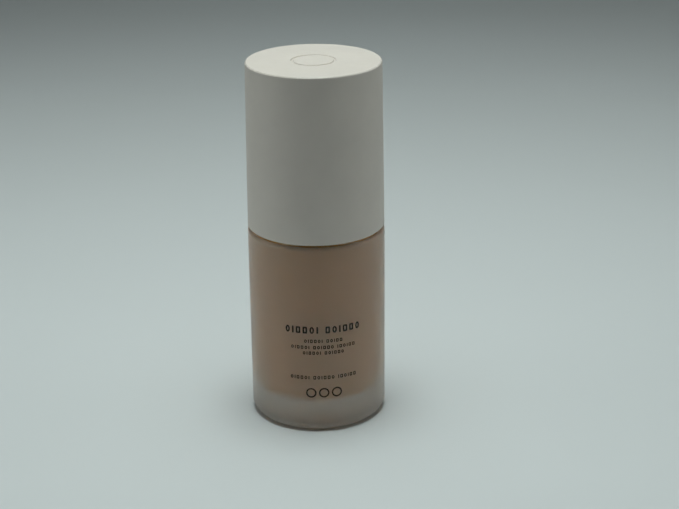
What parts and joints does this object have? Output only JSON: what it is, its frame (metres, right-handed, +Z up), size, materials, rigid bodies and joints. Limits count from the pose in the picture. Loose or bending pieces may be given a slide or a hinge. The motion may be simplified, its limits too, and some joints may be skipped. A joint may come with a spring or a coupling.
{
  "type": "foundation bottle",
  "caption": "Frosted glass foundation bottle, round and thick-based, filled with beige liquid, with a screw-on treatment pump under a tall pull-off cylindrical cap.",
  "frame": {"origin": "middle of the surface that the bottle stands on", "axes": "+Z up along the bottle's axis, -Y the printed front, which the pump's spout faces at rest, +X to the front's right"},
  "size_m": [0.0366, 0.0366, 0.0975],
  "materials": {
    "frosted_glass": "frosted",
    "foundation": "satin liquid",
    "matte_white": "fine matte",
    "liner_white": "satin",
    "natural_plastic": "translucent",
    "soft_white": "soft",
    "piston_white": "waxy",
    "stainless": "drawn wire"
  },
  "bodies": {
    "bottle": {"glass_bottle": "frosted_glass", "foundation_liquid": "foundation"},
    "pump": {"pump_housing": "natural_plastic", "stem_retainer": "liner_white", "neck_gasket": "soft_white", "dip_tube": "natural_plastic", "return_spring": "stainless"},
    "closure": {"screw_closure": "liner_white", "collar_sleeve": "matte_white"},
    "overcap": {"overcap_shell": "matte_white", "overcap_liner": "liner_white"},
    "stem": {"pump_stem": "liner_white", "piston_rod": "liner_white"},
    "piston": {"piston": "piston_white"},
    "actuator": {"actuator_shell": "matte_white", "actuator_core": "liner_white", "nozzle_insert": "matte_white"},
    "inlet_ball": {"inlet_ball": "stainless"}
  },
  "joints": [
    {"name": "pump_lift", "type": "slide", "parent": "bottle", "child": "pump", "axis": [0, 0, 1], "range_m": [0, 0.00477]},
    {"name": "closure_turn", "type": "hinge", "parent": "pump", "child": "closure", "pos_m": [0, 0, 0.062], "axis": [0, 0, 1], "range_deg": [0, 540]},
    {"name": "cap_pull", "type": "slide", "parent": "closure", "child": "overcap", "axis": [0, 0, 1], "range_m": [0, 0.05]},
    {"name": "pump_press", "type": "slide", "parent": "pump", "child": "stem", "axis": [0, 0, -1], "range_m": [0, 0.004], "stiffness_N_per_m": 1200, "springref_m": -0.003, "deforming": ["return_spring"]},
    {"name": "actuator_swivel", "type": "hinge", "parent": "stem", "child": "actuator", "pos_m": [0, 0, 0.08], "axis": [0, 0, 1], "continuous": true},
    {"name": "piston_float", "type": "slide", "parent": "stem", "child": "piston", "axis": [0, 0, 1], "range_m": [0, 0.0006]},
    {"name": "ball_lift", "type": "slide", "parent": "pump", "child": "inlet_ball", "axis": [0, 0, 1], "range_m": [0, 0.0011]}
  ],
  "couplings": [
    {"joint": "pump_lift", "follows": "closure_turn", "m_per_rad": 0.00050532}
  ]
}
